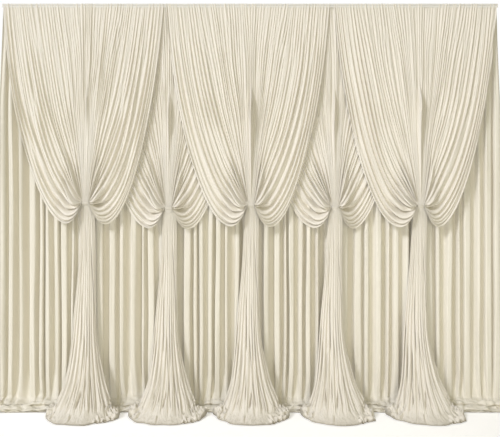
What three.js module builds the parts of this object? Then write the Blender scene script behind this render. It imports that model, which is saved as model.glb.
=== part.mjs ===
// Backdrop curtain: one pleated back sheet and five swag panels that hang from a flat folded heading.
// Each swag is drawn in at a pinch halfway down and falls from there as a tail that spreads on the floor.
// Millimetres. The origin is the middle of the heading's top edge, +X right, +Y to the back, +Z up.
import * as THREE from 'three'

// Driving sizes of the whole curtain
const WIDTH = 3620 // across the heading
const FOOT_WIDTH = 3670 // across the back sheet where it hangs free, which spreads a little
const DROP = 2957 // from the heading's top edge to the floor
const FLOOR = -DROP
const CLOTH = 1.2 // thickness of every sheet
const GAP = 0.3 // between a sheet and the heading it is tucked into
const MOST_OFFSET = 3 // the most that a face stands off the cloth's middle on a steep fold

// The heading is a strip folded over the sheets' top edges, and it stands a little past their sides
const HEADING = { height: 29, depth: 26, wall: 1.5, corner: 3, overhang: 4 }
const TUCK_TOP = -HEADING.wall - GAP
const TUCK_FOOT = -HEADING.height - 6

// Each layer's depth in the heading, and where its folds are open
const LAYERS = {
  back: { head: 7.6, open: 38.5 },
  rear: { head: 0, open: -14 },
  front: { head: -7.6, open: -56 },
}
// Half depth of the folds in the heading and in full drape, and the heights between which they open
const FOLD = { head: 2.8, open: 16, knot: 7 }
const OPENS = { from: -40, to: -700 }

// The five swags, left to right: the pinch lies at x, drop below the heading, and the swag reaches left and
// right of it at the heading.
const PINCH_DEPTH = { front: -64, rear: -42 }
const SWAGS = [
  { layer: 'front', x: -1183, drop: 1457, left: 622, right: 552 },
  { layer: 'rear', x: -589, drop: 1492, left: 612, right: 560 },
  { layer: 'front', x: 7, drop: 1475, left: 622, right: 576 },
  { layer: 'rear', x: 614, drop: 1485, left: 612, right: 560 },
  { layer: 'front', x: 1228, drop: 1475, left: 612, right: 576 },
]

// The folds of a swag, left to right, from -1 at its left edge to 1 at its right one. crest is where the fold
// stands out, trough where it falls back to its right, depth its share of a full fold.
const SWAG_FOLDS = [
  { crest: -0.94, trough: -0.87, depth: 0.7 },
  { crest: -0.83, trough: -0.763, depth: 1.0 },
  { crest: -0.72, trough: -0.65, depth: 0.9 },
  { crest: -0.62, trough: -0.587, depth: 0.8 },
  { crest: -0.53, trough: -0.46, depth: 0.9 },
  { crest: -0.4, trough: -0.335, depth: 0.8 },
  { crest: -0.291, trough: -0.232, depth: 1.0 },
  { crest: -0.09, trough: -0.025, depth: 1.0 },
  { crest: 0.045, trough: 0.1, depth: 1.0 },
  { crest: 0.226, trough: 0.27, depth: 1.0 },
  { crest: 0.4, trough: 0.45, depth: 0.9 },
  { crest: 0.53, trough: 0.57, depth: 0.9 },
  { crest: 0.67, trough: 0.708, depth: 0.8 },
  { crest: 0.755, trough: 0.84, depth: 0.9 },
  { crest: 0.92, trough: 1, depth: 0.7 },
]

// How a swag's threads run from the heading to the pinch: two inner points of a cubic curve, measured from
// the pinch. The edge thread uses across and up, the middle one goes straight down through middle, and the
// powers bow and sag say how fast the threads between them change.
const THREADS = {
  left: [
    { across: 554, up: 454, middle: 483, bow: 1.69, sag: 2.16 },
    { across: 233, up: -532, middle: 971, bow: 0.6, sag: 2.26 },
  ],
  right: [
    { across: 479, up: 365, middle: 610, bow: 1.43, sag: 1.63 },
    { across: 198, up: -520, middle: 1024, bow: 0.6, sag: 2.27 },
  ],
}
const EDGE_SIDE = -0.6 // the left side edge is turned back by this share of a fold
const KNOT_FROM = 0.7 // from here on a thread comes forward to the knot
const FAN_ROWS = [0, 0.0125, 0.2, 0.4, 0.57, 0.7, 0.79, 0.87, 0.94, 1]
// The threads enter the knot over an arch that wraps this many degrees
const KNOT = { halfWidth: 30, rise: 19, wrap: 112 }

// The tail below the pinch. height is above the floor where the pinch is TAIL_HANG above it, left and right
// are its half widths, reach how far its front stands before its sides, back the depth of its sides, fold the
// half depth of its folds, tilt how far the folds' direction has turned from forward to up, in degrees.
const TAIL_HANG = 1500
const TAIL = [
  { height: 1462, left: 27, right: 34, reach: 10, back: -50, fold: 7, tilt: 0 },
  { height: 1385, left: 34, right: 57, reach: 16, back: -36, fold: 12, tilt: 0 },
  { height: 1080, left: 61, right: 59, reach: 26, back: -28, fold: 16, tilt: 0 },
  { height: 620, left: 105, right: 64, reach: 45, back: -36, fold: 18, tilt: 0 },
  { height: 260, left: 146, right: 126, reach: 92, back: -80, fold: 19, tilt: 6 },
  { height: 85, left: 186, right: 180, reach: 158, back: -134, fold: 18, tilt: 30 },
  { height: 22, left: 226, right: 228, reach: 214, back: -158, fold: 10, tilt: 70 },
  { height: 4, left: 244, right: 254, reach: 250, back: -162, fold: 7, tilt: 90 },
  { height: 0.6, left: 258, right: 272, reach: 272, back: -164, fold: 3, tilt: 90 },
]

// The back sheet's folds, left to right: the width of the ridge that stands out, the width of the valley to
// its right, and how deep that valley is as a share of a full one
const BACK_FOLDS = [
  [37, 27, 0.5], [37, 38, 0.6], [43, 37, 0.9], [46, 28, 0.8], [23, 15, 1.2], [37, 33, 0.7], [32, 22, 1],
  [37, 37, 0.9], [20, 24, 0.6], [33, 33, 0.8], [40, 26, 1.1], [52, 52, 0.9], [46, 29, 0.7], [33, 43, 0.7],
  [52, 29, 1], [26, 22, 0.6], [43, 38, 0.7], [37, 29, 0.7], [59, 59, 0.8], [44, 27, 0.8], [24, 16, 1.2],
  [35, 32, 0.7], [32, 24, 1.1], [35, 38, 0.8], [26, 48, 0.7], [27, 29, 1], [35, 29, 0.8], [37, 43, 1],
  [52, 31, 0.9], [43, 28, 0.8], [24, 18, 1.2], [35, 32, 0.6], [32, 24, 1], [36, 35, 0.9], [29, 46, 1],
  [37, 48, 0.8], [70, 54, 0.9], [46, 24, 0.8], [39, 44, 0.7], [46, 35, 0.9], [26, 24, 0.6], [40, 40, 0.7],
  [40, 33, 1.2], [37, 37, 0.8], [57, 31, 0.8], [29, 46, 0.6], [48, 35, 0.9], [27, 22, 0.5], [43, 48, 0.6],
  [30, 37, 0.5], [40, 22, 0.5], [42, 0, 0],
].map(([ridge, valley, depth]) => ({ ridge, valley, depth }))
const RIDGE_EDGE = 0.12 // a ridge is flat to within this share of its width from its sides
const BACK_FOLD = { head: 2.8, open: 28 }
const SPREAD_BY = -700 // the back sheet has its full width from here down
const BACK_ROWS = [TUCK_TOP, TUCK_FOOT, -700, -1700, -2600]
// The last stretch of the back sheet lies bunched before its folds
const FOOT = [
  { height: 120, depth: 36, fold: 23, tilt: 0 },
  { height: 44, depth: 8, fold: 13, tilt: 25 },
  { height: 30, depth: -58, fold: 12, tilt: 70 },
  { height: 4.5, depth: -122, fold: 4, tilt: 90 },
]

const clamp = THREE.MathUtils.clamp
const lerp = THREE.MathUtils.lerp
const radians = THREE.MathUtils.degToRad

// How far the folds have opened at a height, from 0 in the heading to 1 in full drape
function opened(z) {
  return clamp((OPENS.from - z) / (OPENS.from - OPENS.to), 0, 1)
}

// A closed sheet over rows of middle points. Each point has its place, the way its folds stand out (out) and
// how far it stands that way (fold). The two faces lie off the middle along out, further on steep fold walls,
// so that the cloth keeps its thickness there.
function sheetGeometry(rows) {
  const columns = rows[0].length
  const front = []
  const back = []
  for (const row of rows) {
    row.forEach((point, i) => {
      const offset = faceOffset(row, i)
      const face = way => {
        const spot = point.place.clone().addScaledVector(point.out, point.fold + way * offset)
        return spot.setZ(Math.max(spot.z, FLOOR)).toArray()
      }
      front.push(...face(1))
      back.push(...face(-1))
    })
  }
  const count = columns * rows.length
  const at = (i, j) => j * columns + i
  const index = []
  const quad = (a, b, c, d) => index.push(a, b, c, a, c, d)
  for (let j = 0; j < rows.length - 1; j++) {
    for (let i = 0; i < columns - 1; i++) {
      quad(at(i, j), at(i, j + 1), at(i + 1, j + 1), at(i + 1, j))
      index.push(at(i, j) + count, at(i + 1, j + 1) + count, at(i, j + 1) + count)
      index.push(at(i, j) + count, at(i + 1, j) + count, at(i + 1, j + 1) + count)
    }
    const last = columns - 1
    quad(at(0, j + 1), at(0, j), at(0, j) + count, at(0, j + 1) + count)
    quad(at(last, j), at(last, j + 1), at(last, j + 1) + count, at(last, j) + count)
  }
  const foot = rows.length - 1
  for (let i = 0; i < columns - 1; i++) {
    quad(at(i, 0), at(i + 1, 0), at(i + 1, 0) + count, at(i, 0) + count)
    quad(at(i + 1, foot), at(i, foot), at(i, foot) + count, at(i + 1, foot) + count)
  }
  const geometry = new THREE.BufferGeometry()
  geometry.setAttribute('position', new THREE.Float32BufferAttribute([...front, ...back], 3))
  geometry.setIndex(index)
  geometry.computeVertexNormals()
  return geometry
}

// Half the cloth's thickness, measured along the folds' direction on the steeper wall beside a point
function faceOffset(row, i) {
  let sine = 1
  for (const k of [i - 1, i + 1]) {
    if (k < 0 || k >= row.length) continue
    const run = row[i].place.distanceTo(row[k].place)
    const rise = row[i].fold - row[k].fold
    sine = Math.min(sine, run / Math.hypot(run, rise))
  }
  return Math.min(CLOTH / 2 / sine, MOST_OFFSET)
}

// The columns of a swag: its left edge, then a crest and a trough for each fold
function swagColumns() {
  const columns = [{ s: -1, side: EDGE_SIDE }]
  for (const { crest, trough, depth } of SWAG_FOLDS) {
    columns.push({ s: crest, side: depth }, { s: trough, side: -depth })
  }
  return columns
}

// Where the thread s lies between heading (t = 0) and pinch (t = 1), across and up from the pinch
function threadPoint(swag, s, t) {
  const way = s < 0 ? 'left' : 'right'
  const sign = Math.sign(s)
  const a = Math.abs(s)
  const [upper, lower] = THREADS[way]
  const wrap = radians(KNOT.wrap) * s
  const across = [
    sign * swag[way] * a,
    sign * upper.across * a ** upper.bow,
    sign * lower.across * a ** lower.bow,
    KNOT.halfWidth * Math.sin(wrap),
  ]
  const up = [
    swag.drop + TUCK_TOP,
    lerp(upper.middle, upper.up, a ** upper.sag),
    lerp(lower.middle, lower.up, a ** lower.sag),
    KNOT.rise * Math.cos(wrap),
  ]
  const weight = [(1 - t) ** 3, 3 * (1 - t) ** 2 * t, 3 * (1 - t) * t * t, t ** 3]
  const sum = values => values.reduce((total, value, k) => total + value * weight[k], 0)
  return { x: swag.x + sum(across), z: -swag.drop + sum(up) }
}

// A row of the fan between heading and pinch
function fanRow(swag, t) {
  const layer = LAYERS[swag.layer]
  const forward = new THREE.Vector3(0, -1, 0)
  const nearKnot = clamp((t - KNOT_FROM) / (1 - KNOT_FROM), 0, 1)
  return swagColumns().map(({ s, side }) => {
    const { x, z } = threadPoint(swag, s, t)
    const open = opened(z)
    const y = lerp(lerp(layer.head, layer.open, open), PINCH_DEPTH[swag.layer], nearKnot)
    const fold = lerp(lerp(FOLD.head, FOLD.open, open), FOLD.knot, nearKnot)
    const share = lerp(Math.sign(side), side, open)
    return { place: new THREE.Vector3(x, y, z), out: forward, fold: share * fold }
  })
}

// A row of the tail: an arc that opens to the back and grows from flat at the pinch to half round at the foot
function tailRow(swag, row) {
  return swagColumns().map(({ s, side }) => {
    const half = s < 0 ? row.left : row.right
    const round = Math.min(1, row.reach / half)
    const turn = s * Math.PI / 2
    const x = swag.x + half * lerp(s, Math.sin(turn), round)
    const y = row.back - row.reach * Math.cos(turn)
    const sideways = round * Math.sin(turn)
    const tilt = radians(row.tilt)
    const out = new THREE.Vector3(sideways, -Math.sqrt(1 - sideways ** 2), 0)
    out.multiplyScalar(Math.cos(tilt)).setZ(Math.sin(tilt))
    const height = (row.height * (DROP - swag.drop)) / TAIL_HANG
    const lift = row.tilt === 90 ? row.fold : 0
    return { place: new THREE.Vector3(x, y, FLOOR + height + lift), out, fold: side * row.fold }
  })
}

function swagGeometry(swag) {
  return sheetGeometry([...FAN_ROWS.map(t => fanRow(swag, t)), ...TAIL.map(row => tailRow(swag, row))])
}

// The columns of the back sheet: both sides of each ridge and the middle of the valley after it
function backColumns() {
  const total = BACK_FOLDS.reduce((sum, { ridge, valley }) => sum + ridge + valley, 0)
  const columns = []
  let from = 0
  for (const { ridge, valley, depth } of BACK_FOLDS) {
    const add = (distance, side) => columns.push({ s: ((from + distance) / total) * 2 - 1, side })
    add(ridge * (from ? RIDGE_EDGE : 0), 1)
    add(ridge * (valley ? 1 - RIDGE_EDGE : 1), 1)
    if (valley) add(ridge + valley / 2, -depth)
    from += ridge + valley
  }
  return columns
}

function backHangRow(z) {
  const open = opened(z)
  const half = lerp(WIDTH / 2 - HEADING.overhang, FOOT_WIDTH / 2, Math.min(z / SPREAD_BY, 1))
  const forward = new THREE.Vector3(0, -1, 0)
  return backColumns().map(({ s, side }) => ({
    place: new THREE.Vector3(s * half, lerp(LAYERS.back.head, LAYERS.back.open, open), z),
    out: forward,
    fold: lerp(Math.sign(side), side, open) * lerp(BACK_FOLD.head, BACK_FOLD.open, open),
  }))
}

function backFootRow({ height, depth, fold, tilt }) {
  const turn = radians(tilt)
  const out = new THREE.Vector3(0, -Math.cos(turn), Math.sin(turn))
  return backColumns().map(({ s, side }) => ({
    place: new THREE.Vector3((s * FOOT_WIDTH) / 2, depth, FLOOR + height),
    out,
    fold: side * fold,
  }))
}

function backGeometry() {
  return sheetGeometry([...BACK_ROWS.map(backHangRow), ...FOOT.map(backFootRow)])
}

// The heading's section is an arch of folded cloth with rounded upper corners, drawn out along the curtain
function headingGeometry() {
  const { height, depth, wall, corner } = HEADING
  const half = depth / 2
  const inner = half - wall
  const section = new THREE.Shape()
  section.moveTo(-half, -height)
  section.lineTo(-half, -corner)
  section.absarc(-half + corner, -corner, corner, Math.PI, Math.PI / 2, true)
  section.lineTo(half - corner, 0)
  section.absarc(half - corner, -corner, corner, Math.PI / 2, 0, true)
  section.lineTo(half, -height)
  section.lineTo(inner, -height)
  section.lineTo(inner, -wall)
  section.lineTo(-inner, -wall)
  section.lineTo(-inner, -height)
  section.closePath()
  const geometry = new THREE.ExtrudeGeometry(section, { depth: WIDTH, bevelEnabled: false, curveSegments: 3 })
  geometry.translate(0, 0, -WIDTH / 2)
  geometry.rotateY(Math.PI / 2)
  geometry.rotateX(Math.PI / 2)
  return geometry
}

const ivoryKnit = () => new THREE.MeshStandardMaterial({ color: 0xe6dfcb, roughness: 0.85, metalness: 0 })

function clothPiece(name, geometry) {
  const piece = new THREE.Mesh(geometry, ivoryKnit())
  piece.name = name
  return piece
}

const group = new THREE.Group()
group.add(clothPiece('heading_band', headingGeometry()))
group.add(clothPiece('back_sheet', backGeometry()))
SWAGS.forEach((swag, k) => group.add(clothPiece(`swag_${k + 1}`, swagGeometry(swag))))

export default group
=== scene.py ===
"""Backdrop curtain in ivory knit: a pleated back sheet and five drawn-in swags on a flat folded heading.

Shapes are worked out in millimetres in the curtain's own frame (X right, Y to the back, Z up from the
heading's top edge) and become metres where a mesh is made.
"""

import math

import bpy
import numpy as np
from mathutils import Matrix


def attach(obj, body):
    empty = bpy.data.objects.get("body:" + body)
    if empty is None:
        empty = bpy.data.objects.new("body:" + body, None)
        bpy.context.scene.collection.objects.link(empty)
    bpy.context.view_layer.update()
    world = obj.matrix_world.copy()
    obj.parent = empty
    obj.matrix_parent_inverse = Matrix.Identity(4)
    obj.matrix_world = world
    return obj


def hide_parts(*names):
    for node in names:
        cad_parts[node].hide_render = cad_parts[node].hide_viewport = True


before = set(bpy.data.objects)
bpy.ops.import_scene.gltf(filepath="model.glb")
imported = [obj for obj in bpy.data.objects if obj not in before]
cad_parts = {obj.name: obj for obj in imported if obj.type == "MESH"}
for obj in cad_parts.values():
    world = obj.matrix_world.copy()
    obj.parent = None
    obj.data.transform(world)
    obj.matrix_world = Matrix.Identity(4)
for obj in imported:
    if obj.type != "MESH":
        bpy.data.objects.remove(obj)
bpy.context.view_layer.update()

MM = 0.001

# The knit in metres: the width of a wale and of a course, how high both stand, and how deep the hem's
# stitch line lies
WALE, COURSE = 0.0012, 0.0010
RELIEF = {"wales": 0.00012, "courses": 0.00008, "seam": 0.0025}
# The soft clouds in its colour: size and detail of the noise, and where on it each colour is full. The
# long lines of its strain: how much the noise is drawn together each way, its detail, and the share of
# their height that is left where they have faded
CLOUD = {"scale": 1.8, "detail": 4.0, "deep": 0.25, "light": 0.75}
STRAIN = {"across": 70.0, "down": 1.6, "detail": 3.0, "least": 0.3}
# The hem in metres: how far its stitch line lies from the edge, the line's half width, the length of a
# stitch and how far up the painted contact shadow along the foot reaches; then how dark the stitch line
# is, how much its gaps take off, and the colour of both the stitch line and the painted shadow
HEM = {"width": 0.012, "stitch": 0.0012, "step": 0.004, "edge": 0.020, "dark": 0.28, "gaps": 0.25}
STITCH_AND_SHADOW_COLOUR = (150, 144, 126)
# Each knit: its lighter and its deeper colour, its roughness, how high its strain lines stand, between
# which lengths from its head they fade, both in metres, and how dark the painted contact shadow at its foot
# is
KNITS = {
    "swag": ((225, 219, 205), (220, 214, 199), 0.62, 0.006, (1.3, 1.7), 0.9),
    "back": ((226, 221, 205), (221, 215, 198), 0.66, 0.003, (0.0, 0.6), 0.9),
    "heading": ((225, 223, 215), (221, 218, 209), 0.72, 0.001, (0.0, 0.6), 0.0),
}
SHEEN, SHEEN_ROUGHNESS, SPECULAR = 0.25, 0.5, 0.3

# The camera: its distance from the back sheet in metres, the picture's width in pixels, the size of a
# pixel there in metres, the picture's rows of the horizon and of the heading's top, and the sensor in
# millimetres
CAMERA = {"distance": 5.0, "width": 500, "pixel": 7.32 * MM, "horizon": 218.5, "top": 4, "sensor": 36.0}

# The studio in metres: the floor's reach aside, to the front and to the back, its colour and how much
# it shines, and the light that the surround gives
FLOOR_REACH = (4.5, -6.0, 2.2)
FLOOR_TINT, FLOOR_ROUGHNESS, FLOOR_GLOW = (0.92, 0.92, 0.91, 1), 0.7, 0.31
SURROUND_LIGHT = 0.30
SURROUND_TINT = (1.0, 0.94, 0.64, 1.0)
COOL, WARM = (0.97, 0.985, 1.12), (1.0, 0.96, 0.82)
# Each lamp's turn to the right and rise in degrees, distance and size in metres, power, colour, and
# whether it casts shadows
LAMPS = {
    "key": (-40, 32, 20.0, 5.0, 2400.0, COOL, True),
    "side": (-66, 10, 25.0, 8.0, 1080.0, COOL, False),
    "fill": (12, -3, 9.0, 3.0, 175.0, WARM, True),
}

# Sizes of the whole curtain, the height of what lies on the floor, and the size of each sheet as cut
WIDTH = 3620.0
FOOT_WIDTH = 3670.0
DROP = 2957.0
FLOOR = -DROP
LYING = FLOOR + 0.6
CUT = {"swag": (1350.0, 3050.0), "back": (6100.0, 3150.0), "heading": (3620.0, 88.0)}
# The heading: its section, how far its ends pass the back sheet's, how far its faces lie inside the
# section and may be pressed in, and how far its top may sink
HEADING = {
    "height": 29.0,
    "depth": 26.0,
    "cloth": 1.5,
    "corner": 3.0,
    "overhang": 4.0,
    "inset": 0.4,
    "pressed": 0.3,
    "sink": 0.5,
}
TUCK_TOP = -HEADING["cloth"] - 0.3

# Each layer's depth in the heading and where its folds are open, the heights between which they open,
# and the height by which the back sheet has spread to its foot's width
LAYERS = {"back": (7.6, 38.5), "rear": (0.0, -14.0), "front": (-7.6, -56.0)}
OPENS = (-40.0, -700.0)
SPREAD_BY = -700.0
# Half depth of the folds in the heading and when open, and for a swag how deep they may be as a share
# of the threads' spread, which narrows towards the pinch, and the power by which they open
SWAG_FOLD = {"head": 2.4, "open": 15.0, "share": 0.017, "power": 0.7}
BACK_FOLD = {"head": 2.4, "open": 32.0}
# The depth of the pinch, and how far a swag's edges lie behind the rest of it
PINCH_DEPTH = {"front": -90.0, "rear": -68.0}
EDGE_BACK = 10.0

# The five swags, left to right: layer, pinch across, pinch below the heading, reach left and right at
# the heading
SWAGS = (
    ("front", -1183.0, 1457.0, 622.0, 552.0),
    ("rear", -589.0, 1492.0, 612.0, 560.0),
    ("front", 7.0, 1475.0, 622.0, 576.0),
    ("rear", 614.0, 1485.0, 612.0, 560.0),
    ("front", 1228.0, 1475.0, 612.0, 576.0),
)

# The folds of a swag from its left edge, -1, to its right one, 1: crest, how far it stands out, the
# trough to its right, how far it falls back
SWAG_FOLDS = (
    (-0.991, 0.5, -0.981, -0.3),
    (-0.967, 0.7, -0.951, -1.0),
    (-0.937, 0.8, -0.910, -1.1),
    (-0.884, 1.0, -0.857, -1.0),
    (-0.834, 0.7, -0.812, -0.6),
    (-0.791, 0.9, -0.771, -1.1),
    (-0.740, 0.7, -0.723, -0.6),
    (-0.708, 0.5, -0.689, -0.4),
    (-0.665, 0.8, -0.644, -0.9),
    (-0.624, 0.9, -0.588, -1.0),
    (-0.540, 0.6, -0.513, -0.5),
    (-0.481, 0.6, -0.460, -0.4),
    (-0.439, 0.7, -0.393, -0.7),
    (-0.363, 0.7, -0.333, -0.4),
    (-0.291, 1.0, -0.233, -1.0),
    (-0.205, 0.1, -0.157, -0.3),
    (-0.090, 1.0, -0.028, -0.7),
    (0.045, 1.1, 0.098, -1.0),
    (0.138, 0.1, 0.155, -0.1),
    (0.172, 0.4, 0.196, -0.1),
    (0.227, 1.0, 0.271, -1.1),
    (0.346, 0.6, 0.368, -0.3),
    (0.401, 0.9, 0.428, -0.6),
    (0.458, 0.5, 0.508, -0.6),
    (0.532, 0.9, 0.570, -0.5),
    (0.613, 0.6, 0.633, -0.6),
    (0.652, 0.4, 0.666, 0.0),
    (0.684, 0.7, 0.708, -0.6),
    (0.737, 1.0, 0.765, -1.0),
    (0.800, 1.0, 0.838, -1.0),
    (0.862, 0.9, 0.892, -1.1),
    (0.912, 0.6, 0.929, -0.6),
    (0.944, 0.6, 0.954, -0.6),
    (0.965, 0.5, 0.974, -0.4),
    (0.982, 0.6, 0.990, -0.3),
    (0.997, 0.3, 1.000, 0.0),
)

# The folds of a tail, in the same form
TAIL_FOLDS = (
    (-0.940, 0.8, -0.845, -0.9),
    (-0.750, 0.9, -0.650, -0.8),
    (-0.560, 0.8, -0.445, -0.9),
    (-0.350, 0.5, -0.250, -0.7),
    (-0.150, 0.6, -0.060, -0.4),
    (0.030, 0.4, 0.090, -0.5),
    (0.170, 1.0, 0.270, -0.6),
    (0.340, 0.5, 0.440, -0.8),
    (0.560, 0.8, 0.660, -0.7),
    (0.740, 0.6, 0.820, -1.0),
    (0.920, 0.8, 0.970, -0.4),
)

# The narrow creases of a tail: by how much all are deeper than listed, how far each one's depth varies
# and it shifts aside, then for each its place across at its top and at its foot, height of both above
# the floor, half width as a share of the tail's, and depth
CREASE_DEEPER, CREASE_VARIES, CREASE_SHIFTS = 1.2, 0.2, 0.02
TAIL_CREASES = (
    (-0.50, -0.54, 1200.0, 860.0, 0.020, 7.0),
    (-0.12, -0.05, 1380.0, 1020.0, 0.020, 6.0),
    (0.36, 0.80, 1250.0, 640.0, 0.028, 20.0),
    (0.47, 0.90, 1130.0, 600.0, 0.014, 10.0),
    (-0.36, -0.21, 870.0, 390.0, 0.014, 20.0),
    (0.01, 0.17, 790.0, 320.0, 0.014, 20.0),
    (0.30, 0.27, 680.0, 370.0, 0.013, 12.0),
    (-0.10, 0.03, 570.0, 290.0, 0.013, 16.0),
    (-0.88, -0.80, 660.0, 90.0, 0.020, 22.0),
    (0.90, 0.76, 620.0, 320.0, 0.028, 18.0),
    (-0.70, -0.62, 540.0, 190.0, 0.018, 18.0),
    (-0.42, -0.43, 450.0, 190.0, 0.016, 34.0),
    (0.76, 0.80, 370.0, 150.0, 0.018, 36.0),
    (-0.22, -0.15, 310.0, 90.0, 0.012, 16.0),
    (0.30, 0.36, 290.0, 50.0, 0.014, 28.0),
    (0.07, 0.14, 260.0, 60.0, 0.012, 18.0),
    (0.50, 0.57, 260.0, 70.0, 0.012, 16.0),
    (-0.43, -0.33, 220.0, 85.0, 0.015, 26.0),
    (0.02, -0.05, 180.0, 75.0, 0.022, 26.0),
    (0.80, 0.93, 170.0, 70.0, 0.018, 26.0),
    (-0.66, -0.58, 150.0, 50.0, 0.012, 14.0),
    (0.66, 0.73, 140.0, 60.0, 0.026, 22.0),
)

# The threads of a swag's left and right half, from the heading to the pinch, as the two inner points of
# a cubic curve: across and up for the edge thread, the height on the middle thread, and the powers of
# what lies between
THREADS = {
    -1: ((554.0, 454.0, 483.0, 1.69, 2.16), (233.0, -532.0, 971.0, 0.60, 2.26)),
    1: ((479.0, 365.0, 610.0, 1.43, 1.63), (198.0, -520.0, 1024.0, 0.60, 2.27)),
}
# The knot: half width and rise of the arch on which the threads end, how far round it they reach, its
# own height above the tail, and where along the threads they start towards its depth
KNOT = {"half_width": 26.0, "rise": 17.0, "wrap": math.radians(112.0), "height": 50.0}
KNOT_FROM = 0.7
# The belt of cloth round the knot: how far it stands out, how far the cloth above and below it falls
# back, how far both are from the knot's height, and over which distances they fade
BELT = {
    "rise": 9.0,
    "waist": 2.0,
    "waist_at": 28.0,
    "aside": (38, 24),
    "level": (20, 4),
    "waist_level": (18, 2),
}
# The main rolls and creases that run into the knot: place across, half width, rise as a share of the
# threads' spread
KNOT_RAYS = (
    (-0.88, 0.020, -0.055), (-0.79, 0.040, 0.060), (-0.70, 0.020, -0.060), (-0.61, 0.030, 0.050),
    (-0.53, 0.020, -0.060), (-0.46, 0.024, 0.030), (-0.38, 0.018, -0.045), (0.36, 0.018, -0.040),
    (0.44, 0.024, 0.030), (0.51, 0.020, -0.055), (0.59, 0.035, 0.055), (0.68, 0.020, -0.065),
    (0.78, 0.035, 0.045), (0.88, 0.020, -0.055),
)

# The tail: the drop that the table is drawn for, the power by which its rows come closer to the hem, and
# the table: height above the floor, half widths left and right, reach of the front, depth of the sides,
# half depth of the folds, and how far the folds' direction has turned from forward to up
TAIL_HANG = 1500.0
TAIL_CROWDING = 1.5
TAIL = (
    (1462.0, 35.0, 38.0, 12.0, -68.0, 1.5, 0.0),
    (1425.0, 45.0, 56.0, 15.0, -54.0, 2.2, 0.0),
    (1340.0, 50.0, 60.0, 18.0, -34.0, 3.0, 0.0),
    (1080.0, 64.0, 59.0, 26.0, -18.0, 3.8, 0.0),
    (620.0, 105.0, 64.0, 45.0, -20.0, 6.5, 0.0),
    (260.0, 130.0, 124.0, 94.0, -64.0, 14.0, 6.0),
    (85.0, 180.0, 194.0, 160.0, -130.0, 12.0, 30.0),
    (42.0, 212.0, 212.0, 196.0, -150.0, 2.0, 60.0),
    (23.0, 230.0, 236.0, 226.0, -159.0, 0.8, 75.0),
    (14.0, 244.0, 254.0, 252.0, -162.0, 0.8, 90.0),
    (9.5, 257.0, 270.0, 271.0, -164.0, 0.4, 90.0),
    (5.5, 259.0, 272.0, 273.0, -164.0, 0.2, 90.0),
    (1.2, 246.0, 258.0, 259.0, -164.0, 0.0, 90.0),
)
# Where the hem lies on the floor its left and right side rise in a billow, and it curls up in a few
# places: the curl's place across, its height in the table above, its half width as a share of the
# tail's and its rise
BILLOW = (44.0, 30.0)
CURLS = (
    (-0.15, 30.0, 0.028, 9.0),
    (0.36, 12.0, 0.022, 20.0),
    (0.43, 24.0, 0.022, 20.0),
    (0.50, 12.0, 0.024, 22.0),
    (0.64, 16.0, 0.030, 16.0),
    (0.80, 30.0, 0.030, 16.0),
    (-0.62, 26.0, 0.040, 16.0),
    (-0.80, 34.0, 0.034, 16.0),
)
# Beside a curl runs a narrower hollow: its depth as a share of the curl's rise, and its place and half
# width as shares of the curl's half width. Both fade over this height and a third of the curl's own.
CURL_HOLLOW = {"depth": 0.8, "beside": 1.3, "width": math.sqrt(0.5)}
CURL_HEIGHT = 4
# How much a tail's front is squarer than round where it hangs, and on its right where it lies
SQUARE = {"hanging": 0.35, "lying": 0.3}

# The threads whose lengths place the fan's rows
SAMPLE_THREADS = (-0.95, -0.6, -0.2, 0.2, 0.6, 0.95)

# Where each feature of a swag begins and where it is in full: down its threads, from heading (0) to
# pinch (1)
DOWN_FAN = {
    "folds": (0, 0.3),
    "head_pleats": (0.6, 0.15),
    "fan_pleats": (0.9, 0.5),
    "column": (0.35, 0.60),
    "lobe": (0.62, 0.84),
    "rays": (0.76, 0.92),
    "knot": (0.95, 1.0),
}
# The same across it, from its middle (0) to its edges (1)
ACROSS = {
    "column": (0.62, 0.45),
    "deep_folds": (0.3, 0.6),
    "lobe": (0.46, 0.70),
    "ruffle": (0.5, 0.78),
    "billow": (0.68, 0.95),
    "edge": (0.88, 1),
}
# The same up its tail, in millimetres above the floor
UP_TAIL = {
    "hanging": (200, 700),
    "lying": (120, 30),
    "outline": (90, 30),
    "billow": (75, 24),
    "billow_hem": (3, 14),
    "ruffle": (110, 55),
    "ruffle_hem": (2, 14),
    "knot_pleats": (60, 200),
    "low_pleats": (430, 180),
    "low_pleats_foot": (40, 85),
}

# Fine pleats: how much their corners are cut and how much they come and go. Then those of a swag: how
# high, how many side by side, how far they wander, their seed, and the power that narrows their ridges.
# Those of the fan and the column take their height from the threads' spread.
PLEAT_CORNERS, PLEAT_SWING = 0.97, 0.35
FINE_PLEATS = {
    "fan": (1.0, 57, 0.9, 4, 1.7),
    "head": (5.2, 83, 1.2, 6, 1.3),
    "lobe": (5.5, 76, 1.4, 8, 1.5),
    "knot": (1.2, 17, 0.8, 10, 1.0),
    "low": (9.0, 41, 1.5, 12, 1.5),
    "column": (0.022, 29, 0.5, 18, 1.0),
}
# The height of the fan's pleats: in the heading, what is added as they open, their share of the
# threads' spread and the least of it, and the spreads between which they begin
FAN_PLEATS = {"head": 11.0, "open": 15.0, "share": 0.038, "least": 0.1, "spread": (100, 340)}
# The strength of the main folds at the heading, what the left and the right lobe add, and how much they
# fade in the column; then how far the lobes' folds stand out downwards, and the strength of the left and
# the right lobe's fine pleats
FOLDS_AT_HEAD, FOLDS_IN_LOBES, FADE_IN_COLUMN = 0.6, (2.2, 0.55), 0.5
LOBES_DOWN, LOBE_PLEATS = 0.5, (0.5, 0.75)
# The least ruffle, in the middle of a tail, and how much closer a swag's columns lie at its edges
LEAST_RUFFLE, CROWDING = 0.2, 0.2

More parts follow.
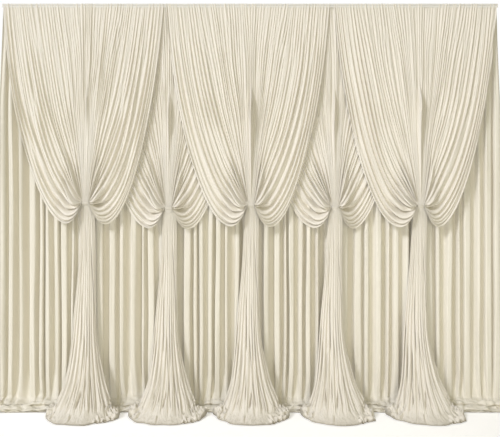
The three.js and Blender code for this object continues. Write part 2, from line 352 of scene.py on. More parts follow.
# Unevenness, each kind the sum of random fields: how far a field reaches, its cells along both ways of
# the cloth and its seed, to which a swag adds its own
UNEVEN = {
    "lean": ((0.008, (9, 7), 0), (0.004, (30, 12), 1)),
    "outline": ((0.055, (12, 14), 15),),
    "ruffle": ((14.0, (40, 90), 16), (12.0, (80, 170), 17)),
    "wander": ((5.0, (40, 4), 11), (3.0, (90, 7), 12)),
    "foot_wander": ((16.0, (26, 3), 16), (8.0, (70, 12), 18)),
    "foot_folds": ((0.45, (38, 1), 17),),
    "fine_folds": ((0.10, (150, 6), 13), (0.06, (300, 9), 14)),
    "head_gathers": ((0.6, (60, 5), 15),),
    "crumple": ((9.0, (34, 12), 31), (9.0, (110, 22), 32)),
    "loose_depth": ((15, (40, 6), 33), (9, (130, 12), 34)),
    "loose_height": ((12, (36, 6), 35), (7, (120, 12), 36)),
    "heading_faces": ((0.35, (120, 2), 21), (0.25, (300, 3), 22)),
    "heading_top": ((0.5, (60, 1), 23),),
}

# The back sheet's folds, left to right: the ridge, how wide its right side turns, the valley, how wide
# the next ridge's left side turns, and how deep the valley is at its left and right end, as shares of a
# full one
BACK_FOLDS = (
    (37, 11, 27, 11, 0.80, 0.80), (37, 18, 38, 15, 0.80, 0.90), (43, 40, 37, 7, 0.80, 1.00),
    (46, 15, 28, 7, 0.75, 0.85), (23, 9, 15, 13, 1.15, 1.25), (37, 18, 33, 15, 0.70, 0.70),
    (32, 11, 22, 9, 0.90, 1.15), (37, 7, 37, 7, 0.75, 1.00), (20, 15, 24, 18, 0.55, 0.55),
    (33, 15, 33, 15, 0.70, 0.80), (40, 11, 26, 11, 1.10, 1.50), (52, 9, 52, 7, 0.70, 0.95),
    (46, 15, 29, 11, 0.70, 0.70), (33, 18, 43, 18, 0.65, 0.65), (52, 37, 29, 15, 0.90, 1.05),
    (26, 18, 22, 9, 0.62, 0.62), (43, 7, 38, 22, 0.70, 0.70), (37, 15, 29, 15, 0.60, 0.80),
    (59, 22, 59, 7, 0.75, 0.85), (44, 7, 27, 9, 0.65, 0.80), (24, 9, 16, 15, 1.20, 1.20),
    (35, 18, 32, 15, 0.65, 0.65), (32, 11, 24, 7, 0.95, 1.15), (35, 11, 38, 7, 0.80, 0.75),
    (26, 29, 48, 7, 0.55, 0.75), (27, 11, 29, 11, 1.15, 1.30), (35, 15, 29, 15, 0.80, 0.80),
    (37, 15, 43, 18, 1.10, 1.00), (52, 44, 31, 10, 0.80, 0.95), (43, 15, 28, 13, 0.70, 0.85),
    (24, 15, 18, 9, 1.15, 1.15), (35, 15, 32, 16, 0.60, 0.60), (32, 15, 24, 11, 0.95, 1.00),
    (36, 15, 35, 15, 0.80, 0.90), (29, 33, 46, 18, 0.90, 1.10), (37, 15, 48, 15, 0.70, 0.80),
    (70, 11, 54, 11, 0.70, 1.05), (46, 7, 24, 15, 0.65, 0.80), (39, 22, 44, 26, 0.65, 0.65),
    (46, 18, 35, 15, 0.75, 1.00), (26, 22, 24, 22, 0.58, 0.58), (40, 12, 40, 44, 0.72, 0.60),
    (40, 15, 33, 15, 1.00, 1.30), (37, 15, 37, 15, 0.80, 0.80), (57, 7, 31, 11, 0.80, 0.70),
    (29, 22, 46, 26, 0.50, 0.62), (48, 18, 35, 15, 0.65, 1.00), (27, 22, 22, 11, 0.50, 0.50),
    (43, 7, 48, 22, 0.75, 0.35), (30, 15, 37, 11, 0.50, 0.50), (40, 7, 22, 15, 0.50, 0.50),
    (42, 7, 0, 0, 0, 0),
)
# A side that turns within this width leans over its valley, by so much
NECK = {"within": 11, "lean": 4.0}

# The foot of the back sheet, which lies bunched before its folds: height above the floor, depth, half
# depth of the folds, and how far their direction has turned up
FOOT = (
    (230.0, 37.0, 30.0, 0.0),
    (120.0, 34.0, 23.0, 0.0),
    (72.0, 24.0, 14.0, 8.0),
    (56.0, 0.0, 8.0, 35.0),
    (50.0, -30.0, 5.0, 65.0),
    (40.0, -47.0, 4.0, 40.0),
    (30.0, -28.0, 4.0, 20.0),
    (24.0, -50.0, 4.0, 60.0),
    (25.0, -84.0, 4.0, 80.0),
    (17.0, -96.0, 3.0, 60.0),
    (10.0, -74.0, 3.0, 40.0),
    (9.0, -100.0, 3.0, 80.0),
    (8.0, -124.0, 2.0, 90.0),
    (3.5, -126.0, 1.0, 60.0),
    (1.2, -114.0, 0.0, 40.0),
)
# Where each feature of the back sheet begins and where it is in full: down the cloth and along its foot
DOWN_BACK = {"head": (0, 0.3), "wander": (0, 0.3), "lean": (0.02, 0.25), "foot": (0.82, 0.95)}
ALONG_FOOT = {
    "crumple": (0.25, 0.5),
    "crumple_edge": (1.0, 0.93),
    "loose": (0.3, 0.55),
    "loose_edge": (1.0, 0.9),
    "lying": (0.42, 0.72),
}
# The fine gathers under the heading: how many, and their height, which is taken off the main folds
HEAD_GATHERS = {"count": 145, "height": 0.5}
# How much weaker the folds are above the foot and where the foot lies. The sheet's wander fades out
# towards its edges over one part in so many of its width.
WEAKER = {"foot": 0.40, "lying": 0.7}
STILL_EDGE = 60


def smooth_table(knots, values, x):
    """Monotone cubic curve through a table. Its slope at a knot is the harmonic mean of the slopes of
    the two steps beside it, or 0 where they differ in sign."""
    knots, values, x = np.asarray(knots, float), np.asarray(values, float), np.asarray(x, float)
    step = np.diff(knots)
    rise = np.diff(values) / step
    slope = np.zeros_like(values)
    same = rise[:-1] * rise[1:] > 0
    slope[1:-1][same] = 2 * (rise[:-1] * rise[1:])[same] / (rise[:-1] + rise[1:])[same]
    slope[0], slope[-1] = rise[0], rise[-1]
    k = np.clip(np.searchsorted(knots, x) - 1, 0, len(step) - 1)
    f = np.clip((x - knots[k]) / step[k], 0, 1)
    start, end = values[k], values[k + 1]
    return (
        start * (1 + 2 * f) * (1 - f) ** 2
        + end * f * f * (3 - 2 * f)
        + step[k] * f * (1 - f) * (slope[k] * (1 - f) - slope[k + 1] * f)
    )


def ease(x, start=0.0, end=1.0):
    """Smooth step from 0 at start to 1 at end."""
    f = np.clip((np.asarray(x, float) - start) / (end - start), 0, 1)
    return f * f * (3 - 2 * f)


def bell(x, middle, half_width):
    """Bell curve: 1 at middle, and 1 / e at half_width from it."""
    return np.exp(-(((x - middle) / half_width) ** 2))


def drift(a, b, cells, seed):
    """Smooth random field from -1 to 1 on the grid of a and b, each from 0 to 1: seeded values at the
    corners of cells[0] by cells[1] cells, blended with smooth steps between them."""
    corners = np.random.default_rng(seed).uniform(-1, 1, (cells[0] + 2, cells[1] + 2))
    x, y = np.clip(a, 0, 1) * cells[0], np.clip(b, 0, 1) * cells[1]
    i, j = np.minimum(x.astype(int), cells[0] - 1), np.minimum(y.astype(int), cells[1] - 1)
    f, g = ease(x - i), ease(y - j)
    low = corners[i, j] * (1 - f) + corners[i + 1, j] * f
    high = corners[i, j + 1] * (1 - f) + corners[i + 1, j + 1] * f
    return low * (1 - g) + high * g


def unevenness(a, b, kind, seed=0):
    """The sum of the random fields of one kind of unevenness."""
    return sum(reach * drift(a, b, cells, seed + number) for reach, cells, number in UNEVEN[kind])


def opened(z):
    """How far the folds have opened at a height, from 0 in the heading to 1 in full drape."""
    return np.clip((OPENS[0] - z) / (OPENS[0] - OPENS[1]), 0, 1)


def fold_wave(s, folds, roll):
    """A table's folds across the cloth. Between a crest and a trough the cloth runs halfway between a
    straight line and a half cosine, which keeps both sharp. As roll goes from 0 to 1 this becomes a
    half cosine to the power of three, a round roll with a narrow trough. The left edge lies half a fold
    back."""
    knots, heights = [-1.0], [-0.5]
    for crest, stand, trough, fall in folds:
        knots += [crest, trough]
        heights += [stand, fall]
    knots, heights = np.array(knots), np.array(heights)
    k = np.clip(np.searchsorted(knots, s) - 1, 0, len(knots) - 2)
    f = np.clip((s - knots[k]) / (knots[k + 1] - knots[k]), 0, 1)
    high, low = np.maximum(heights[k], heights[k + 1]), np.minimum(heights[k], heights[k + 1])
    from_crest = np.where(heights[k] > heights[k + 1], f, 1 - f)
    cosine = (1 - np.cos(np.pi * from_crest)) / 2
    return high + (low - high) * ((from_crest + cosine) / 2 * (1 - roll) + cosine**3 * roll)


def pleats(place, along, count, wander, seed, narrow):
    """Fine pleats side by side, from 0 to 1: a triangle wave with soft corners, whose ridges get
    narrower as it is raised to a power. Its phase wanders along the cloth by a smooth random field, and
    a second one makes the pleats come and go."""
    phase = count * place + wander * drift(place, along, (count // 3, 6), seed)
    wave = 0.5 + np.arcsin(PLEAT_CORNERS * np.sin(2 * np.pi * phase)) / np.pi
    swing = PLEAT_SWING * drift(place, along, (count // 2, 5), seed + 1)
    return wave**narrow * (1 - PLEAT_SWING + swing)


def crease_depth(s, height, seed):
    """How deep a tail's narrow creases fall back, in millimetres: each runs straight from its top to
    its foot, has a bell curve for its section and fades out over the last quarter at both ends."""
    shift = np.random.default_rng(seed).uniform(-1, 1, (len(TAIL_CREASES), 2))
    depth = 0 * s + 0 * height
    for (top_s, foot_s, top, foot, half_width, deep), (aside, more) in zip(TAIL_CREASES, shift):
        share = np.clip((top - height) / (top - foot), 0, 1)
        middle = top_s + (foot_s - top_s) * share + CREASE_SHIFTS * aside
        fade = ease(share, 0, 0.25) * ease(share, 1, 0.75)
        deepest = deep * (CREASE_DEEPER + CREASE_VARIES * more)
        depth = depth + deepest * fade * bell(s, middle, half_width)
    return depth


def thread_points(swag, s, t):
    """Where the thread s of a swag lies at t from heading (0) to pinch (1): a cubic curve from its
    place in the heading to its place on the knot's arch. Edge threads sag below the pinch and come back
    up to it."""
    _, pinch, drop, left, right = swag
    a = np.abs(s)
    weight = ((1 - t) ** 3, 3 * (1 - t) ** 2 * t, 3 * (1 - t) * t * t, t**3)
    x = weight[0] * np.where(s < 0, left, right) * s
    x = x + weight[3] * KNOT["half_width"] * np.sin(KNOT["wrap"] * s)
    z = weight[0] * (drop + TUCK_TOP) + weight[3] * KNOT["rise"] * np.cos(KNOT["wrap"] * s)
    for k in (0, 1):
        (lx, lz, lm, lb, ls), (rx, rz, rm, rb, rs) = THREADS[-1][k], THREADS[1][k]
        across = np.where(s < 0, -lx * a**lb, rx * a**rb)
        up = np.where(s < 0, lm + (lz - lm) * a**ls, rm + (rz - rm) * a**rs)
        x = x + weight[k + 1] * across
        z = z + weight[k + 1] * up
    return pinch + x, z - drop


def cloth_mesh(name, points, flat):
    """A sheet over a grid of points (rows, columns, 3) in millimetres, with a UV map that measures the
    cut cloth in metres from its left edge and its head."""
    rows, columns = points.shape[:2]
    at = np.arange(rows * columns).reshape(rows, columns)
    faces = np.stack([at[:-1, :-1], at[1:, :-1], at[1:, 1:], at[:-1, 1:]], -1).reshape(-1, 4)
    mesh = bpy.data.meshes.new(name)
    mesh.vertices.add(rows * columns)
    mesh.vertices.foreach_set("co", (points * MM).reshape(-1))
    mesh.loops.add(faces.size)
    mesh.loops.foreach_set("vertex_index", faces.reshape(-1).astype(np.int32))
    mesh.polygons.add(len(faces))
    mesh.polygons.foreach_set("loop_start", np.arange(0, faces.size, 4, dtype=np.int32))
    mesh.polygons.foreach_set("loop_total", np.full(len(faces), 4, np.int32))
    mesh.polygons.foreach_set("use_smooth", np.ones(len(faces), bool))
    mesh.update(calc_edges=True)
    uv = mesh.uv_layers.new(name="cut")
    uv.data.foreach_set("uv", (flat.reshape(-1, 2)[faces.reshape(-1)] * MM).reshape(-1))
    piece = bpy.data.objects.new(name, mesh)
    bpy.context.collection.objects.link(piece)
    return piece


def fan_grid(swag, s, rows):
    """The fan of a swag, without its folds: rows that lie evenly along the threads, which open from the
    heading towards the front and come to the pinch's depth near the knot. With it go each row's share
    of the way, its length down the cloth, the half depth of the folds and the threads' spread, from
    thread to thread."""
    layer = swag[0]
    a = np.abs(s)
    fine = np.linspace(0, 1, 600)[:, None]
    x, z = thread_points(swag, np.array([SAMPLE_THREADS]), fine)
    run = np.concatenate([[0], np.cumsum(np.hypot(np.diff(x, axis=0), np.diff(z, axis=0)).mean(1))])
    down = np.linspace(0, run[-1], rows)
    t = np.interp(down, run, fine[:, 0])[:, None]
    x, z = thread_points(swag, s, t)
    head, full = LAYERS[layer]
    open_share = opened(z)
    y = head + (full - head) * open_share + EDGE_BACK * ease(a, *ACROSS["edge"]) * open_share
    y = y + (PINCH_DEPTH[layer] - y) * ease(np.clip((t - KNOT_FROM) / (1 - KNOT_FROM), 0, 1))
    spread = np.hypot(np.gradient(x, s[0], axis=1), np.gradient(z, s[0], axis=1))
    fold = SWAG_FOLD["head"] + (SWAG_FOLD["open"] - SWAG_FOLD["head"]) * open_share ** SWAG_FOLD["power"]
    share = SWAG_FOLD["share"] * (1 + ease(t, *DOWN_FAN["lobe"]) * ease(a, *ACROSS["deep_folds"]))
    fold = 1 / np.hypot(1 / fold, 1 / (share * spread))
    return np.stack([x, y, z], -1), t, down, fold, spread


def tail_grid(swag, s, rows, seed):
    """The tail of a swag, without its folds: rows that lie closer and closer towards the hem, each an
    arc that is open to the back and grows from flat at the pinch to half round on the floor. With it go
    each row's height above the floor, its length down the cloth, the half depth of the folds and the
    way in which they stand out."""
    _, pinch, drop, _, _ = swag
    a = np.abs(s)
    table = np.array(TAIL)
    step = np.hypot(np.diff(table[:, 0]), np.diff(table[:, 3] - table[:, 4]))
    run = np.concatenate([[0], np.cumsum(step)])
    down = (1 - (1 - np.linspace(0, 1, rows)) ** TAIL_CROWDING) * run[-1]
    height, left, right, reach, back, fold, tilt = (
        smooth_table(run, table[:, k], down)[:, None] for k in range(7)
    )
    half = np.where(s < 0, left, right)
    round_it = np.minimum(1, reach / half)
    turn = s * math.pi / 2
    share = (down / run[-1])[:, None] + 0 * s
    across = (s + 1) / 2 + 0 * share
    uneven = 1 + unevenness(across, share, "outline", seed) * ease(height, *UP_TAIL["outline"])
    x = pinch + half * (s + (np.sin(turn) - s) * round_it) * uneven
    square = 1 - SQUARE["hanging"] * ease(height, *UP_TAIL["hanging"])
    square = square - SQUARE["lying"] * ease(height, *UP_TAIL["lying"]) * (s > 0)
    y = back - reach * np.maximum(np.cos(turn), 0) ** square * uneven

    # Up and down: the drop, the billows of the hem's sides, its curls and its ruffle
    billow = np.where(s < 0, *BILLOW) * ease(a, *ACROSS["billow"])
    billow = billow * ease(height, *UP_TAIL["billow"]) * ease(height, *UP_TAIL["billow_hem"])
    z = FLOOR + height * ((DROP - drop) / TAIL_HANG) + billow
    for at, level, half_width, rise in CURLS:
        beside = bell((s - at) / half_width, CURL_HOLLOW["beside"], CURL_HOLLOW["width"])
        curl = bell(s, at, half_width) - CURL_HOLLOW["depth"] * beside
        z = z + rise * bell(height, level, CURL_HEIGHT + level / 3) * curl
    ruffle = unevenness(across, share, "ruffle", seed)
    ruffle = ruffle * (LEAST_RUFFLE + (1 - LEAST_RUFFLE) * ease(a, *ACROSS["ruffle"]))
    z = z + ruffle * ease(height, *UP_TAIL["ruffle"]) * ease(height, *UP_TAIL["ruffle_hem"])

    sideways = round_it * np.sin(turn)
    tilt = np.radians(tilt)
    way = [sideways * np.cos(tilt), -np.sqrt(1 - sideways**2) * np.cos(tilt), np.sin(tilt) + 0 * s]
    return np.stack([x, y, z], -1), height, down, fold + 0 * s, np.stack(way, -1)


def swag_surface(swag, seed, columns=480, fan_rows=62, knot_rows=10, tail_rows=91):
    """A swag: the rows of its fan, of the knot and of its tail, moved along each one's own way by the sum
    of the main folds, fine pleats, creases, rays and belt. The fan's folds turn into the tail's just
    above the knot."""
    _, pinch, drop, _, _ = swag
    s = np.linspace(-1, 1, columns)[None, :]
    s = (1 + CROWDING) * s - CROWDING * s**3
    a = np.abs(s)
    fan_points, t, fan_down, fan_fold, spread = fan_grid(swag, s, fan_rows)
    tail_points, height, tail_down, tail_fold, tail_way = tail_grid(swag, s, tail_rows, seed)

    # The knot's rows lead in a straight line from the last row of the fan to the first of the tail
    w = np.linspace(0, 1, knot_rows + 2)[1:-1, None]
    knot_points = fan_points[-1:] * (1 - w[..., None]) + tail_points[:1] * w[..., None]
    bare = np.concatenate([fan_points, knot_points, tail_points])
    x, _, z = np.moveaxis(bare, -1, 0)
    past_tail = 0 * height
    fold = np.concatenate([fan_fold, fan_fold[-1:] * (1 - w) + tail_fold[:1] * w, tail_fold])
    room = np.concatenate([spread, spread[-1:] + 0 * w, spread[-1:] + past_tail])

    # Each row's share of the way down the cloth, down the fan and across the knot, and its height
    length = (fan_points[-1, :, 2] - tail_points[0, :, 2]).mean()
    knot_end = fan_down[-1] + length
    down = np.concatenate([fan_down, fan_down[-1] + w[:, 0] * length, knot_end + tail_down])[:, None]
    down = down / down[-1]
    place = (s + 1) / 2 + 0 * down
    along = down + 0 * s
    fan = np.concatenate([t, 1 + 0 * w, 1 + past_tail])
    to_tail = np.concatenate([0 * t, w, 1 + past_tail])
    above = np.concatenate([DROP + 0 * t, height[0] + KNOT["height"] * (1 - w), height])
    knot = ease(fan, *DOWN_FAN["knot"])
    lobe = ease(fan, *DOWN_FAN["lobe"]) * ease(a, *ACROSS["lobe"]) * (1 - knot)
    column = ease(fan, *DOWN_FAN["column"]) * ease(a, *ACROSS["column"]) * (1 - ease(to_tail))

    way = np.zeros(bare.shape)
    way[..., 1] = -1
    way[:fan_rows, :, 2] = -LOBES_DOWN * lobe[:fan_rows]
    way[-tail_rows:] = tail_way

    # The main folds, which lean a little this way and that
    lean = unevenness(place, along, "lean", seed)
    leaning = np.clip(s + lean * ease(fan, *DOWN_FAN["folds"]), -1, 1)
    wave = fold_wave(leaning, SWAG_FOLDS, lobe) * (1 - knot) + fold_wave(leaning, TAIL_FOLDS, 1) * knot
    strength = FOLDS_AT_HEAD + (1 - FOLDS_AT_HEAD) * ease(fan, *DOWN_FAN["folds"])
    strength = strength + np.where(s < 0, *FOLDS_IN_LOBES) * lobe
    stand = wave * strength * (1 - FADE_IN_COLUMN * column) * fold

    # Fine pleats: down the fan, under the heading, in the lobes, the knot, low on the tail, in the column
    def fine(name, scale=1.0):
        rise, count, wander, number, narrow = FINE_PLEATS[name]
        return rise * scale * pleats(place, along, count, wander, seed + number, narrow)

    open_height = FAN_PLEATS["head"] + FAN_PLEATS["open"] * opened(z)
    fan_height = 1 / np.hypot(1 / open_height, 1 / (FAN_PLEATS["share"] * room + FAN_PLEATS["least"]))
    fan_height = fan_height * ease(room, *FAN_PLEATS["spread"])
    stand = stand + fine("fan", fan_height) * ease(fan, *DOWN_FAN["fan_pleats"])
    stand = stand + fine("head") * ease(fan, *DOWN_FAN["head_pleats"])
    stand = stand + fine("lobe") * lobe * np.where(s < 0, *LOBE_PLEATS)
    stand = stand + fine("knot") * knot * ease(above, *UP_TAIL["knot_pleats"])
    low = ease(above, *UP_TAIL["low_pleats"]) * ease(above, *UP_TAIL["low_pleats_foot"])
    stand = stand + fine("low") * low
    stand = stand + fine("column", room) * column
    stand = stand - crease_depth(s, above, seed + 14)

    # The rays that run into the knot, and the belt round it
    into_knot = ease(fan, *DOWN_FAN["rays"]) * (1 - ease(to_tail, 0, 0.5))
    for at, half_width, rise in KNOT_RAYS:
        stand = stand + rise * room * into_knot * bell(s, at, half_width)
    level = np.abs(z + drop)
    belt = BELT["rise"] * ease(level, *BELT["level"])
    belt = belt - BELT["waist"] * ease(np.abs(level - BELT["waist_at"]), *BELT["waist_level"])
    stand = stand + belt * ease(np.abs(x - pinch), *BELT["aside"])

    points = bare + way * stand[..., None]
    points[..., 2] = np.maximum(points[..., 2], LYING)
    flat = np.stack([place * CUT["swag"][0], along * CUT["swag"][1]], -1)
    return points, flat


def back_folds():
    """The back sheet's fold line: the places of its columns across the cloth, how far each stands out
    and how far it leans aside. A ridge turns into the valley to its right, and the valley into the next
    ridge, by a half cosine of the given width. Where a side turns within NECK, the ridge is wider than
    its neck by a sine."""
    places, heights = [np.linspace(0, BACK_FOLDS[0][0] / 2, 5)], [np.ones(5)]
    leans = [np.zeros(5)]
    start = 0.0
    turn = np.linspace(0, 1, 6)[1:]
    bulge = NECK["lean"] * np.sin(2 * np.pi * turn)
    for k, (ridge, right, valley, left, near, far) in enumerate(BACK_FOLDS[:-1]):
        edge, rise = start + ridge, start + ridge + valley
        down = edge + right * (turn - 0.5)
        floor = np.linspace(down[-1], rise - left / 2, 4)[1:]
        up = rise + left * (turn - 0.5)
        next_ridge, next_right = BACK_FOLDS[k + 1][0], BACK_FOLDS[k + 1][1]
        last = rise + next_ridge - (next_right / 2 if k + 2 < len(BACK_FOLDS) else 0)
        top = np.linspace(up[-1], last, 5)[1:]
        places += [down, floor, up, top]
        heights += [
            1 - (1 + near) * (1 - np.cos(np.pi * turn)) / 2,
            np.linspace(-near, -far, 4)[1:],
            -far + (1 + far) * (1 - np.cos(np.pi * turn)) / 2,
            np.ones(4),
        ]
        lean_right, lean_left = bulge * (right <= NECK["within"]), bulge * (left <= NECK["within"])
        leans += [lean_right, np.zeros(3), lean_left, np.zeros(4)]
        start = rise
    return np.maximum.accumulate(np.concatenate(places)), np.concatenate(heights), np.concatenate(leans)


def back_surface(hang_rows=40, foot_rows=70):
    """The back sheet: the fold line carried down the hang, opening below the heading, and then along
    the foot's table forward over the floor, where it lies crumpled."""
    place, height_line, lean_line = back_folds()
    hang = np.linspace(0, 1, hang_rows)[:, None]
    foot = np.array(FOOT)
    z_hang = TUCK_TOP + (FLOOR + foot[0, 0] - TUCK_TOP) * hang
    run = np.concatenate([[0], np.cumsum(np.hypot(np.diff(foot[:, 0]), np.diff(foot[:, 1])))])
    v = np.linspace(0, 1, foot_rows + 1)[1:] * run[-1]
    height, depth, fold, tilt = (smooth_table(run, foot[:, k], v)[:, None] for k in range(4))

    # Depth, height, size and turn of the folds for each row, and the shares of the way across and down
    open_hang = opened(z_hang)
    head, full = LAYERS["back"]
    y = np.concatenate([head + (full - head) * open_hang, depth])
    z = np.concatenate([z_hang, FLOOR + height])
    size = np.concatenate([BACK_FOLD["head"] + (BACK_FOLD["open"] - BACK_FOLD["head"]) * open_hang, fold])
    tilt = np.radians(np.concatenate([0 * hang, tilt]))
    down = np.concatenate([hang[:, 0] * (DROP - foot[0, 0]), (DROP - foot[0, 0]) + v])
    down = (down / down[-1])[:, None]
    a = (place / place[-1])[None, :] + 0 * down
    b = down + 0 * a
    on_foot = np.concatenate([0 * hang, (v / run[-1])[:, None]]) + 0 * a

    # The folds, which get weaker towards the foot, with finer ones on them and gathers at the head
    near_foot = ease(b, *DOWN_BACK["foot"])
    strength = 1 - near_foot * (WEAKER["foot"] + unevenness(a, b, "foot_folds"))
    lying = ease(on_foot, *ALONG_FOOT["lying"])
    wave = height_line[None, :] * strength * (1 - WEAKER["lying"] * lying)
    gathers = np.sin(2 * np.pi * (HEAD_GATHERS["count"] * a + unevenness(a, b, "head_gathers")))
    gathers = HEAD_GATHERS["height"] * gathers
    at_head = 1 - ease(down, *DOWN_BACK["head"])
    wave = wave * (1 - HEAD_GATHERS["height"] * at_head)
    wave = wave + unevenness(a, b, "fine_folds") + gathers * at_head
    crumple = unevenness(a, on_foot, "crumple")
    crumple = crumple * ease(on_foot, *ALONG_FOOT["crumple"]) * ease(on_foot, *ALONG_FOOT["crumple_edge"])
    stand = wave * size + crumple

    # Across: the width, which spreads to the foot's, a wander between still edges, and the folds' lean
    spread = np.clip(z / SPREAD_BY, 0, 1)
    half = (WIDTH / 2 - HEADING["overhang"]) * (1 - spread) + FOOT_WIDTH / 2 * spread
    wander = unevenness(a, b, "wander") * ease(b, *DOWN_BACK["wander"])
    wander = wander + unevenness(a, b, "foot_wander") * near_foot
    pinned = np.clip(np.minimum(a, 1 - a) * STILL_EDGE, 0, 1)
    lean = lean_line[None, :] * ease(b, *DOWN_BACK["lean"]) * (1 - near_foot)
    x = (2 * a - 1) * half + wander * pinned + lean

    loose = ease(on_foot, *ALONG_FOOT["loose"]) * ease(on_foot, *ALONG_FOOT["loose_edge"])
    y = y - np.cos(tilt) * stand + loose * unevenness(a, on_foot, "loose_depth")
    z = z + np.sin(tilt) * stand + loose * unevenness(a, on_foot, "loose_height")
    points = np.stack([x, y, np.maximum(z, LYING)], -1)
    flat = np.stack([a * CUT["back"][0], b * CUT["back"][1]], -1)
    return points, flat


def heading_surface(columns=480):
    """The heading: a strip carried along the curtain over an arch-shaped section with rounded upper
    corners, a little uneven along its length."""
    half, low, r = HEADING["depth"] / 2 - HEADING["inset"], -HEADING["height"], HEADING["corner"]
    corner = np.linspace(0, math.pi / 2, 5)
    side = np.array([[-half, low], [-half, low * 0.85], [-half, low * 0.5]])
    front = np.concatenate([side, np.stack([-half + r - r * np.cos(corner), -r + r * np.sin(corner)], -1)])
    section = np.concatenate([front, [[0, 0]], (front * (-1, 1))[::-1]])
    a = np.linspace(0, 1, columns)[None, :] + 0 * section[:, :1]
    b = np.linspace(0, 1, len(section))[:, None] + 0 * a
    x = (a * 2 - 1) * WIDTH / 2
    pressed = unevenness(a, b, "heading_faces") - HEADING["pressed"]
    y = section[:, :1] + np.sign(section[:, :1]) * pressed
    z = section[:, 1:] + unevenness(a, 0 * b, "heading_top") - HEADING["sink"]
    points = np.stack([x, y, z], -1)[::-1]
    flat = np.stack([a * CUT["heading"][0], b * CUT["heading"][1]], -1)
    return points[:, ::-1], flat


# The five sockets of a Mix node between its factor and its two colours
UNUSED = (None,) * 5


class Socket:
    """One output of a material's nodes, or a plain number: Python's operators on it add Math nodes."""

    def __init__(self, nodes, source):
        self.nodes, self.source = nodes, source

    def _math(self, operation, *values):
        return self.nodes.add("ShaderNodeMath", {"operation": operation}, *values)

    def __add__(self, other):
        return self._math("ADD", self, other)

    def __sub__(self, other):
        return self._math("SUBTRACT", self, other)

    def __rsub__(self, other):
        return self._math("SUBTRACT", other, self)

    def __mul__(self, other):
        return self._math("MULTIPLY", self, other)

    def __truediv__(self, other):
        return self._math("DIVIDE", self, other)

    def __rtruediv__(self, other):
        return self._math("DIVIDE", other, self)

    __radd__, __rmul__ = __add__, __mul__

    def sine(self):
        return self._math("SINE", self)

    def smaller(self, other):
        return self._math("MINIMUM", self, other)


class Nodes:
    """The node tree of one material."""

    def __init__(self, name):
        self.material = bpy.data.materials.new(name)
        self.material.use_nodes = True
        self.tree = self.material.node_tree
        self.tree.nodes.clear()

    def add(self, kind, settings, *values, output=0, **named):
        """A node of this type with its settings, then values or links for its inputs, in order or named."""
        node = self.tree.nodes.new(kind)
        for key, value in settings.items():
            if key == "stops":
                ramp = node.color_ramp
                while len(ramp.elements) < len(value):
                    ramp.elements.new(1.0)
                for stop, (position, colour) in zip(ramp.elements, value):
                    stop.position, stop.color = position, colour
            else:
                setattr(node, key, value)
        inputs = list(zip(node.inputs, values))
        inputs += [(node.inputs[key.replace("_", " ")], value) for key, value in named.items()]
        for slot, value in inputs:
            if isinstance(value, Socket):
                self.tree.links.new(value.source, slot)
            elif value is not None:
                slot.default_value = value
        return Socket(self, node.outputs[output]) if node.outputs else None


def rgba(r, g, b):
    """A display colour, 0 to 255, as the linear colour that a shader takes."""
    value = np.array([r, g, b]) / 255
    return (*np.where(value <= 0.04045, value / 12.92, ((value + 0.055) / 1.055) ** 2.4), 1.0)


def knit(part, cut):
    """Ivory jersey on its cut in metres: fine wales and courses and long strain lines as bump, soft
    cloudy colour, a turned hem with a stitch line along its sides and foot, and a painted contact shadow
    along the foot. A stitch line is 1 / (1 + d squared) of the distance d from it, and the painted shadow
    1 / (1 + d to the sixth)."""
    light, deep, roughness, strain, calm, foot_shadow_strength = KNITS[part]
    n = Nodes(f"{part}_knit")
    uv = n.add("ShaderNodeUVMap", {"uv_map": "cut"})
    across = n.add("ShaderNodeSeparateXYZ", {}, uv)
    down = Socket(n, across.source.node.outputs[1])
    width, length = cut

    stops = [(CLOUD["deep"], rgba(*deep)), (CLOUD["light"], rgba(*light))]
    cloud = n.add(
        "ShaderNodeTexNoise", {"noise_dimensions": "3D"}, uv, Scale=CLOUD["scale"], Detail=CLOUD["detail"]
    )
    tint = n.add("ShaderNodeValToRGB", {"stops": stops}, cloud)

    from_edge = across.smaller(width - across).smaller(length - down)
    past_stitch = (from_edge - HEM["width"]) / HEM["stitch"]
    stitch = 1 / (1 + past_stitch * past_stitch)
    gaps = (across + down) * (2 * math.pi / HEM["step"])
    seam = stitch * (1 - HEM["gaps"] + gaps.sine() * HEM["gaps"])
    # Painted contact shadow: the colour darkens towards the foot's edge, where the cloth lies on the floor
    past_foot = (length - down) / HEM["edge"]
    past_foot = past_foot * past_foot
    painted_foot_shadow = foot_shadow_strength / (1 + past_foot * past_foot * past_foot)
    # The mix towards the darker colour: the stitch line plus the painted contact shadow
    stitch_and_shadow = (seam * HEM["dark"] + painted_foot_shadow).smaller(1.0)
    colours = (tint, rgba(*STITCH_AND_SHADOW_COLOUR))
    multiply = {"data_type": "RGBA", "blend_type": "MULTIPLY"}
    colour = n.add("ShaderNodeMix", multiply, stitch_and_shadow, *UNUSED, *colours, output=2)

    wales = (across * (2 * math.pi / WALE)).sine()
    courses = (down * (2 * math.pi / COURSE)).sine()
    stretched = n.add("ShaderNodeCombineXYZ", {}, across * STRAIN["across"], down * STRAIN["down"])
    lines = n.add(
        "ShaderNodeTexNoise", {"noise_dimensions": "2D"}, stretched, Scale=1.0, Detail=STRAIN["detail"]
    )
    fade = n.add("ShaderNodeMapRange", {}, down, *calm, 1.0, STRAIN["least"])
    relief = wales * RELIEF["wales"] + courses * RELIEF["courses"] + lines * fade * strain
    bump = n.add("ShaderNodeBump", {}, Strength=1.0, Distance=1.0, Height=relief - seam * RELIEF["seam"])
    shader = n.add(
        "ShaderNodeBsdfPrincipled", {}, Base_Color=colour, Roughness=roughness, Normal=bump,
        Sheen_Weight=SHEEN, Sheen_Roughness=SHEEN_ROUGHNESS, Specular_IOR_Level=SPECULAR,
    )
    n.add("ShaderNodeOutputMaterial", {}, shader)
    return n.material


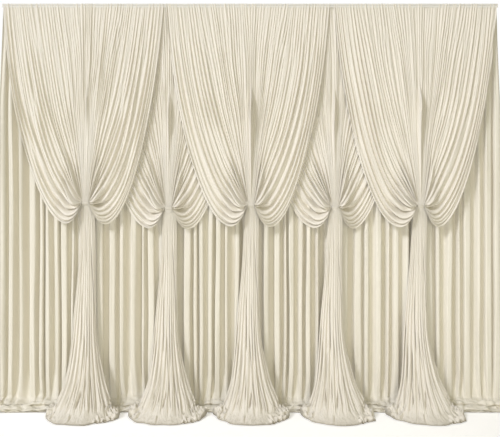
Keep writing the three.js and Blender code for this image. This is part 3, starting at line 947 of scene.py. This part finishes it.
def plain(name, colour, roughness, glow):
    """One colour all over, which also shines by itself a little."""
    n = Nodes(name)
    shader = n.add(
        "ShaderNodeBsdfPrincipled", {}, Base_Color=colour, Roughness=roughness,
        Emission_Color=(1, 1, 1, 1), Emission_Strength=glow,
    )
    n.add("ShaderNodeOutputMaterial", {}, shader)
    return n.material


def area_light(name, place, aim, size, power, colour, shadows):
    """A large soft lamp at place that points at aim."""
    lamp = bpy.data.lights.new(name, "AREA")
    lamp.shape, lamp.size, lamp.energy, lamp.color = "DISK", size, power, colour
    lamp.use_shadow = shadows
    holder = bpy.data.objects.new(name, lamp)
    bpy.context.collection.objects.link(holder)
    way = np.array(aim) - np.array(place)
    holder.location = place
    holder.rotation_euler = (
        math.atan2(math.hypot(way[0], way[1]), -way[2]), 0, math.atan2(way[0], -way[1]) + math.pi
    )


def make_camera():
    """Level, at the height of the photo's horizon, in front of the curtain's middle."""
    camera = bpy.data.cameras.new("camera")
    camera.sensor_width = CAMERA["sensor"]
    camera.lens = CAMERA["sensor"] * CAMERA["distance"] / CAMERA["pixel"] / CAMERA["width"]
    holder = bpy.data.objects.new("camera", camera)
    bpy.context.collection.objects.link(holder)
    holder.location = (0, -CAMERA["distance"], -(CAMERA["horizon"] - CAMERA["top"]) * CAMERA["pixel"])
    holder.rotation_euler = (math.pi / 2, 0, 0)
    bpy.context.scene.camera = holder


def make_studio():
    """A pale floor, a white surround that lights less than it shows, a large soft key from the upper
    left, a wide side lamp without shadows from further left, and a frontal fill."""
    x, front, rear = FLOOR_REACH
    corners = [(-x, front), (x, front), (x, rear), (-x, rear)]
    mesh = bpy.data.meshes.new("floor")
    mesh.from_pydata([(x, y, FLOOR * MM) for x, y in corners], [], [(0, 1, 2, 3)])
    floor = bpy.data.objects.new("floor", mesh)
    bpy.context.collection.objects.link(floor)
    mesh.materials.append(plain("studio_floor", FLOOR_TINT, FLOOR_ROUGHNESS, glow=FLOOR_GLOW))
    world = bpy.data.worlds.new("studio")
    bpy.context.scene.world = world
    world.use_nodes = True
    surround = world.node_tree.nodes["Background"]
    seen = world.node_tree.nodes.new("ShaderNodeLightPath")
    blend = world.node_tree.nodes.new("ShaderNodeMixRGB")
    blend.inputs[1].default_value = [v * SURROUND_LIGHT for v in SURROUND_TINT]
    blend.inputs[2].default_value = (1, 1, 1, 1)
    world.node_tree.links.new(seen.outputs["Is Camera Ray"], blend.inputs[0])
    world.node_tree.links.new(blend.outputs[0], surround.inputs[0])
    middle = (0, 0, FLOOR / 2 * MM)
    for name, (turn, rise, distance, size, power, colour, shadows) in LAMPS.items():
        turn, rise = math.radians(turn), math.radians(rise)
        aside = distance * math.cos(rise)
        place = (aside * math.sin(turn), -aside * math.cos(turn), middle[2] + distance * math.sin(rise))
        area_light(name, place, middle, size, power, colour, shadows)


bpy.context.scene.view_settings.view_transform = "Standard"
make_camera()
make_studio()

cut = {name: tuple(v * MM for v in size) for name, size in CUT.items()}
knits = {part: knit(part, cut[part]) for part in KNITS}

heading = cloth_mesh("heading", *heading_surface())
heading.data.materials.append(knits["heading"])
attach(heading, "root")
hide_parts("heading_band")

back = cloth_mesh("back_drape", *back_surface())
back.data.materials.append(knits["back"])
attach(back, "root")
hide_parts("back_sheet")

for number, swag in enumerate(SWAGS, 1):
    piece = cloth_mesh(f"swag_drape_{number}", *swag_surface(swag, 100 * number))
    piece.data.materials.append(knits["swag"])
    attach(piece, "root")
    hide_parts(f"swag_{number}")
